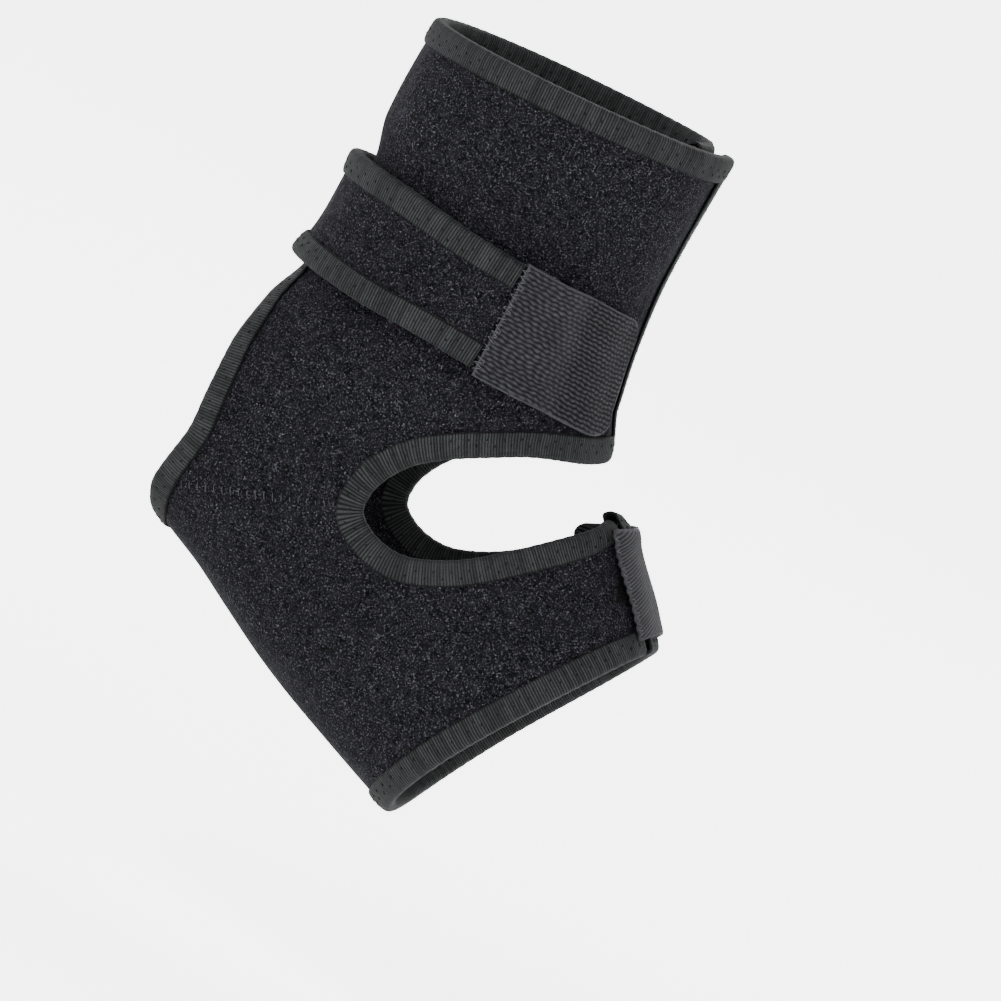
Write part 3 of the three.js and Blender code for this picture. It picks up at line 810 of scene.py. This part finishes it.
def loop_fabric():
    """Unbroken loop: black pile with fine grey specks painted where loops catch the light."""
    material, tree, shader = new_material("loop_fabric")
    specks = noise(tree, scale=1750, detail=2, rough=0.7)
    clumps = noise(tree, scale=420, detail=3, rough=0.6)
    broad = noise(tree, scale=22, detail=2, rough=0.5)
    shaded_pit = (0.0003, 0.0003, 0.0005)
    pile = (0.0038, 0.0037, 0.0047)
    faint_glint = (0.0115, 0.0112, 0.0132)
    glint = (0.058, 0.057, 0.062)
    # The pile is darker where the clumps' bump sinks: its own uneven tone, with painted shade in the
    # hollows.
    base = ramp(tree, clumps, [(0.32, shaded_pit), (0.7, pile)])
    # Painted highlights: the specks lighten the colour where the loops would catch the light, on the
    # bumps they raise.
    glints = ramp(tree, specks, [(0.5, 0.0), (0.64, faint_glint), (0.78, glint)])
    color = mixed(tree, "ADD", base, glints)
    shade = ramp(tree, broad, [(0.3, 0.82), (0.7, 1.0)])
    tree.links.new(mixed(tree, "MULTIPLY", color, shade), shader.inputs["Base Color"])
    low = bump(tree, clumps, strength=0.8, distance=0.0006)
    tree.links.new(bump(tree, specks, strength=0.9, distance=0.0004, below=low), shader.inputs["Normal"])
    shader.inputs["Roughness"].default_value = 0.92
    shader.inputs["Specular IOR Level"].default_value = 0.015
    shader.inputs["Sheen Weight"].default_value = 0.005
    shader.inputs["Sheen Roughness"].default_value = 0.45
    shader.inputs["Sheen Tint"].default_value = (0.75, 0.78, 0.85, 1)
    return material


def ribbed_fabric(name, shaded, light):
    """A woven tape: its ribs are in the mesh, its yarns and fuzz are here, with painted shade in the rib
    valleys and painted light on the crests.
    """
    material, tree, shader = new_material(name)
    yarns = noise(tree, scale=2600, detail=2, rough=0.7)
    worn = noise(tree, scale=130, detail=3, rough=0.6)
    # Painted shade and light: the rib value gives the shaded colour in the valleys and the light one on
    # the crests.
    rib = ramp(tree, attribute(tree, "rib"), [(0.1, shaded), (0.85, light)])
    grain = ramp(tree, yarns, [(0.3, 0.62), (0.7, 1.32)])
    wear = ramp(tree, worn, [(0.3, 0.85), (0.7, 1.12)])
    color = mixed(tree, "MULTIPLY", mixed(tree, "MULTIPLY", rib, grain), wear)
    # Painted shade: the border rows are darkened, as the crease where the tape meets the cloth and the
    # tape's inside.
    border = ramp(tree, attribute(tree, "border"), [(0.0, 1.0), (1.0, 0.45)])
    tree.links.new(mixed(tree, "MULTIPLY", color, border), shader.inputs["Base Color"])
    tree.links.new(bump(tree, yarns, strength=0.6, distance=0.0003), shader.inputs["Normal"])
    shader.inputs["Roughness"].default_value = 0.75
    shader.inputs["Specular IOR Level"].default_value = 0.04
    shader.inputs["Sheen Weight"].default_value = 0.003
    shader.inputs["Sheen Roughness"].default_value = 0.4
    return material


def thread_material(name, color):
    material, tree, shader = new_material(name)
    twist = noise(tree, scale=3200, detail=2, rough=0.6)
    darker = tuple(c * 0.55 for c in color)
    tree.links.new(ramp(tree, twist, [(0.3, darker), (0.7, color)]), shader.inputs["Base Color"])
    tree.links.new(bump(tree, twist, strength=0.5, distance=0.0002), shader.inputs["Normal"])
    shader.inputs["Roughness"].default_value = 0.8
    shader.inputs["Specular IOR Level"].default_value = 0.04
    return material


cloth = loop_fabric()
# Each tape's first colour is its painted shade in the rib valleys, its second its painted light on the
# crests.
tape = ribbed_fabric("binding_tape", (0.0013, 0.0015, 0.0016), (0.0122, 0.0132, 0.0133))
hooks = ribbed_fabric("hook_tape", (0.0001, 0.0001, 0.0002), (0.0152, 0.015, 0.0172))
dark_thread = thread_material("dark_thread", (0.0012, 0.0013, 0.0013))
light_thread = thread_material("light_thread", (0.034, 0.035, 0.037))
seam_thread = thread_material("seam_thread", (0.02, 0.02, 0.022))


# Pieces

FABRIC = "loop_fabric"
TAPE = "binding_tape"
HOOK = "hook_tape"

body = finish_piece(make_body(cloth), ["brace_body"])

# Columns: node, edge, closed, side that the edge faces, how far each end runs on.
BODY_TAPES = [
    ("binding_rim", rim, False, -1, (CORNER_REACH, CORNER_REACH)),
    ("binding_toe_edge", toe_edge, False, 1, (0, 0)),
    ("binding_instep_outer", outer_opening, False, 1, (CORNER_REACH, 0)),
    ("binding_instep_inner", inner_opening, False, -1, (CORNER_REACH, 0)),
    ("binding_heel", heel_opening, True, -1, (0, 0)),
    ("binding_front_flap", flap_edge, False, 1, (0, 0)),
]
tape_stitches = []
STITCH_INWARD = 0.6
STITCH_ACROSS = CORNER_REACH - BINDING_WIDTH / 2 - STITCH_INWARD
for node, line, closed, off_side, lengthen in BODY_TAPES:
    made = make_binding(node + "_tape", line, closed, off_side, -NEOPRENE, 0, tape, lengthen)
    finish_piece(made, [node])
    for lift in (MARK_LIFT, -NEOPRENE - MARK_LIFT):
        tape_stitches += needle_marks(line, closed, off_side, STITCH_ACROSS, lift)


def make_strap(material):
    """The strap's neoprene, between its bindings."""
    columns = 24
    sunk = 0.3
    clear = 0.1
    uneven_share = 0.6
    relief_scale = 1.7
    relief_start = 40
    under = PATCH_START - PATCH_OVERLAP / GIRTH
    count = round((STRAP_SEWN_END - under) * GIRTH / CELL)
    inset = 1 - EDGE_INSET / STRAP_SIDE
    sides = np.linspace(-inset, inset, columns)
    psi = np.repeat(np.linspace(under, STRAP_SEWN_END, count)[:, None], columns, axis=1)
    q = np.stack([length_at_height(psi[:, j], strap_middle(psi[:, j]) + side * strap_half(psi[:, j]))
                  for j, side in enumerate(sides)], axis=1)
    uneven = relief(psi * relief_scale + relief_start, q) * uneven_share
    crown = STRAP_CROWN * (1 - sides ** 2)[None]
    fade_in = ease((psi - under) * GIRTH / STRAP_FADE)
    fade_out = ease((STRAP_SEWN_END - psi) * GIRTH / STRAP_FADE)
    top = STRAP_TOP - sunk + (uneven + crown) * fade_in * fade_out
    return grid_solid("strap_cloth", psi, q, top, STRAP_FOOT + clear, material)


strap = finish_piece(make_strap(cloth), ["strap"])
for node, side in (("strap_binding_upper", 1), ("strap_binding_lower", -1)):
    behind = CLEARANCE + PATCH_BACK_GAP - side * PATCH_SLANT / 2
    line = strap_line(PATCH_START + behind / GIRTH, STRAP_SEWN_END, side, fine_step)
    made = make_binding(node + "_tape", line, False, -side, STRAP_FOOT, STRAP_TOP, tape)
    finish_piece(made, [node])
    tape_stitches += needle_marks(line, False, -side, STITCH_ACROSS, STRAP_TOP + MARK_LIFT)


def patch_lift(psi):
    under = PATCH_START - PATCH_OVERLAP / GIRTH
    ramp_end = under - PATCH_RAMP_GAP
    return CLEARANCE + STRAP_TOP * ease((psi - ramp_end + PATCH_RAMP) / PATCH_RAMP)


def rounded(ahead, radius, rise):
    """How far a rounded corner cuts in, at a distance from the piece's end."""
    share = np.maximum(0, radius - ahead) / radius
    return rise * (1 - np.sqrt(np.maximum(0, 1 - share ** 2)))


def make_patch(material):
    """The hook patch: woven ribs along the strap, broken into dashes, with pressed cut edges, painted
    shade in its grooves and a painted highlight on its edges.
    """
    cell_across = 0.25
    dash_pitch = 2.3
    dash_rows = 64
    worn = 0.2
    worn_from = 0.85
    worn_over = 0.5
    pressed_width = 0.8
    edge_shine = 1.15
    half_high = STRAP_WIDTH / 2
    half_low = STRAP_WIDTH / 2 - PATCH_TRIM
    length = (PATCH_START - PATCH_END) * GIRTH
    down = np.linspace(0, 1, round(length / HOOK_CELL))
    across = np.linspace(-1, 1, round(STRAP_WIDTH / cell_across))
    share, side = np.meshgrid(down, across, indexing="ij")
    ahead = share * length
    high = half_high - rounded(ahead, PATCH_CORNER, PATCH_CORNER)
    low = half_low - rounded(ahead, PATCH_FOOT_CORNER, PATCH_FOOT_CORNER / 2) + PATCH_FLARE * share
    height = np.where(side > 0, side * high, side * low)
    psi = PATCH_END + ahead / GIRTH - share * height / STRAP_WIDTH * PATCH_SLANT / GIRTH
    q = length_at_height(psi.ravel(), (strap_middle(psi) + height).ravel()).reshape(psi.shape)
    # The ribs stray a little along two waves.
    wander = 0.13 * np.sin(ahead * 0.9 + height * 0.6) + 0.1 * np.sin(ahead * 2.3 - height * 1.1)
    phase = (height + wander) / HOOK_RIB_PITCH
    rib = 0.5 + 0.5 * np.cos(phase * 2 * math.pi)
    row = np.floor(phase + 0.5)
    shift = chance.uniform(0, 2 * math.pi, dash_rows)[row.astype(int) % dash_rows]
    waver = 0.8 * np.sin(ahead * 0.7 + row)
    dash = 0.5 + 0.5 * np.sin(ahead * 2 * math.pi / dash_pitch + shift + waver)
    bold = 1 - worn + worn * ease((length * worn_from - ahead) / (length * worn_over))
    border = np.minimum(np.minimum(high - height, height + low), np.minimum(ahead, length - ahead))
    pressed = ease(border / pressed_width)
    ribs = (1 - bold * (1 - rib)) * (0.5 + 0.5 * dash) * pressed
    top = patch_lift(psi) + HOOK_TAPE - PATCH_CREST + HOOK_RIB_HEIGHT * ribs
    # The colour is painted shade in the grooves and between the dashes, and a painted highlight on the
    # pressed edges.
    shown = np.clip(ribs + (1 - pressed) * edge_shine, 0, BRIGHTEST)
    return grid_solid("hook_patch", psi, q, top, patch_lift(psi), material,
                      values={"rib": shown, "border": np.zeros(psi.shape)})


patch = finish_piece(make_patch(hooks), ["strap_hook_patch"])


def make_tab(material):
    """The instep tab: hook tape with fine slanting ribs and a pressed edge, with painted shade in its
    grooves and a painted highlight on that edge.
    """
    columns = 150
    corner_stretch = 2
    fray_height = 0.35
    fray_turn = 74
    fray_width = 3
    pressed_width = 0.9
    edge_shine = 0.9
    low = -TAB_FOOT_ANGLE * DEGREE * FAN_RADIUS
    high = -TAB_TOP_ANGLE * DEGREE * FAN_RADIUS
    length = (TAB_START - TAB_END) * GIRTH
    down = np.linspace(0, 1, round(length / HOOK_CELL))
    share, side = np.meshgrid(down, np.linspace(0, 1, columns), indexing="ij")
    ahead = share * length
    cut = rounded(ahead, TAB_CORNER, TAB_CORNER) * corner_stretch
    fray = fray_height * np.sin(side * fray_turn) * ease((ahead - length + fray_width) / fray_width)
    psi = TAB_END + (ahead + fray) / GIRTH
    q = low + cut + (high - low - 2 * cut) * side
    true_along = (q - low) * TAB_TRUE
    phase = (ahead * TAB_RIB_LEAN + true_along) / TAB_RIB_PITCH
    rib = 0.5 + 0.5 * np.cos(phase * 2 * math.pi)
    tall = (high - low) * TAB_TRUE
    border = np.minimum(np.minimum(true_along, tall - true_along), np.minimum(ahead, length - ahead))
    pressed = ease(border / pressed_width)
    base = 2 * CLEARANCE + BINDING_TAPE
    top = base + HOOK_TAPE - TAB_CREST + TAB_RIB_HEIGHT * rib * pressed
    # The colour is painted shade in the rib grooves and a painted highlight on the pressed edge.
    shown = np.clip(rib * pressed + (1 - pressed) * edge_shine, 0, BRIGHTEST)
    return grid_solid("instep_tab", psi, q, top, base, material,
                      values={"rib": shown, "border": np.zeros(psi.shape)})


finish_piece(make_tab(hooks), ["instep_hook_tab"])


def strap_place(psi, side):
    return psi, float(length_at_height(np.array([psi]), strap_middle(psi) + side)[0])


def uneven_zigzag(places, lift):
    """A worn zigzag: stitches sunk in the hooks, each a little astray, some lost in the pile."""
    lost = 0.3
    deepest = 0.16
    sunk = 0.5
    return [stitch_path(a, b, lift - chance.uniform(0, deepest), sunk)
            for a, b in zip(places, places[1:]) if chance.random() > lost]


def astray(reach):
    return chance.uniform(-reach, reach)


def patch_stitches():
    """Zigzag stitches that join the hook patch to the strap's end."""
    margin = 1
    pitch = 1.05
    on_strap = 0.7
    on_patch = -1.5
    proud = 0.04
    places = []
    for i, side in enumerate(np.arange(margin - STRAP_WIDTH / 2, STRAP_WIDTH / 2 - margin, pitch)):
        edge = PATCH_START - side / STRAP_WIDTH * PATCH_SLANT / GIRTH
        reach = on_strap if i % 2 else on_patch
        places.append(strap_place(edge + (reach + astray(0.35)) / GIRTH, side + astray(0.2)))
    return uneven_zigzag(places, CLEARANCE + STRAP_TOP + HOOK_TAPE + proud)


def tab_stitches():
    """Zigzag stitches that join the tab to the lower band."""
    margin = 3
    count = 34
    on_band = 0.4
    on_tab = -1.7
    proud = 0.05
    low = -TAB_FOOT_ANGLE * DEGREE * FAN_RADIUS
    high = -TAB_TOP_ANGLE * DEGREE * FAN_RADIUS
    places = [(TAB_START + ((on_tab if i % 2 else on_band) + astray(0.3)) / GIRTH, at + astray(0.4))
              for i, at in enumerate(np.linspace(low + margin, high - margin, count))]
    return uneven_zigzag(places, 2 * CLEARANCE + BINDING_TAPE + HOOK_TAPE + proud)


def cross_stitch(x, z, across, half, lift):
    """A stitch over a line on the outer side, seen from the side: across is its unit direction."""
    sunk = 0.3
    return stitch_path(pattern_place(x - across[0] * half, z - across[1] * half),
                       pattern_place(x + across[0] * half, z + across[1] * half), lift, sunk)


def seam_stitches():
    """The flatlock seam from the heel opening forward, as short stitches across its line."""
    start = (-43.7, -41.2)
    end = (5.7, -19.6)
    across = (-0.5, 0.866)
    count = 21
    half_least = 0.9
    half_more = 0.6
    lift = 0.12
    paths = []
    for s in np.linspace(0, 1, count):
        x = start[0] + (end[0] - start[0]) * s
        z = start[1] + (end[1] - start[1]) * s
        paths.append(cross_stitch(x, z, across, half_least + half_more * chance.random(), lift))
    return paths


def bar_tack():
    """Close satin stitches over the tab's slot, which leans with the band."""
    middle = (90.8, 1.3)
    down = (0.5, -0.866)
    across = (0.866, 0.5)
    count = 24
    half_long = 4.5
    half_wide = 1.6
    lift = 0.42
    return [cross_stitch(middle[0] + down[0] * s, middle[1] + down[1] * s, across, half_wide, lift)
            for s in np.linspace(-half_long, half_long, count)]


# Columns: name, paths, thread's radius, its sides, material, slot.
THREADS = [
    ("binding_stitches", tape_stitches, 0.2, 4, dark_thread, TAPE),
    ("patch_stitches", patch_stitches(), 0.12, 5, light_thread, HOOK),
    ("tab_stitches", tab_stitches(), 0.12, 5, light_thread, HOOK),
    ("seam_stitches", seam_stitches(), 0.14, 5, seam_thread, FABRIC),
    ("bar_tack", bar_tack(), 0.24, 5, dark_thread, TAPE),
]
for name, paths, radius, sides, thread, slot in THREADS:
    finish_piece(make_tubes(name, paths, radius, sides, thread))


# Stage, camera and light

FLOOR_DROP = 0.06
FLOOR_GLOW = 2.2


def make_stage():
    """A pale floor that runs up all round into a wall, with no line between them."""
    floor_z = cad_box[0][2] - FLOOR_DROP
    # Columns: radius and height in metres.
    profile = [(0.5, 0), (1.5, 0), (3, 0), (4, 0.05), (5, 0.4), (5.7, 1.2), (6, 2.4), (6, 6)]
    sides = 64
    turn = np.arange(sides) * 2 * math.pi / sides
    points = [(r * math.cos(a) / MM, r * math.sin(a) / MM, (z + floor_z) / MM)
              for r, z in profile for a in turn]
    faces = loft_faces(len(profile), sides, False)
    points.append((0, 0, floor_z / MM))
    faces += [((j + 1) % sides, j, len(points) - 1) for j in range(sides)]
    material, tree, shader = new_material("pale_floor")
    shader.inputs["Base Color"].default_value = (0.95, 0.95, 0.95, 1)
    shader.inputs["Emission Color"].default_value = (1, 1, 1, 1)
    shader.inputs["Emission Strength"].default_value = FLOOR_GLOW
    shader.inputs["Roughness"].default_value = 1
    shader.inputs["Specular IOR Level"].default_value = 0
    stage = make_object("floor", points, faces, material)


def add_light(name, place, size, power, target=(0.02, 0, 0.01)):
    light = bpy.data.lights.new(name, "AREA")
    light.shape = "DISK"
    light.size = size
    light.energy = power
    lamp = bpy.data.objects.new(name, light)
    lamp.location = place
    aim = Vector(target) - Vector(place)
    lamp.rotation_euler = aim.to_track_quat("-Z", "Y").to_euler()
    bpy.context.scene.collection.objects.link(lamp)


VIEW_AZIMUTH = 8 * DEGREE
VIEW_ELEVATION = 7 * DEGREE
VIEW_ROLL = 30 * DEGREE
VIEW_DISTANCE = 4
PICTURE_WIDTH = 0.3003
PICTURE_RIGHT = 0.04295
PICTURE_UP = 0.0021
SENSOR = 36


def make_camera():
    right = Vector((math.cos(VIEW_AZIMUTH), math.sin(VIEW_AZIMUTH), 0))
    look = Vector((-math.sin(VIEW_AZIMUTH) * math.cos(VIEW_ELEVATION),
                   math.cos(VIEW_AZIMUTH) * math.cos(VIEW_ELEVATION), -math.sin(VIEW_ELEVATION)))
    up = right.cross(look)
    middle = right * PICTURE_RIGHT + up * PICTURE_UP
    across = right * math.cos(VIEW_ROLL) + up * math.sin(VIEW_ROLL)
    above = up * math.cos(VIEW_ROLL) - right * math.sin(VIEW_ROLL)
    data = bpy.data.cameras.new("camera")
    data.sensor_width = SENSOR
    data.lens = SENSOR * VIEW_DISTANCE / PICTURE_WIDTH
    camera = bpy.data.objects.new("camera", data)
    turn = Matrix((across, above, -look)).transposed()
    camera.matrix_world = Matrix.Translation(middle - look * VIEW_DISTANCE) @ turn.to_4x4()
    bpy.context.scene.collection.objects.link(camera)
    bpy.context.scene.camera = camera


make_stage()
make_camera()

# Columns: name, place in metres, disc's diameter, power in watts.
LIGHTS = [
    ("key", (-0.7, -1.3, 1.3), 0.9, 34),
    ("fill", (1.3, -1.1, 0.5), 1.2, 14),
    ("back", (0.2, 1.4, 1.2), 1.2, 20),
]
for name, place, size, power in LIGHTS:
    add_light(name, place, size, power)

world = bpy.data.worlds.new("world")
world.use_nodes = True
world.node_tree.nodes["Background"].inputs["Color"].default_value = (1, 1, 1, 1)
world.node_tree.nodes["Background"].inputs["Strength"].default_value = 0.6
bpy.context.scene.world = world
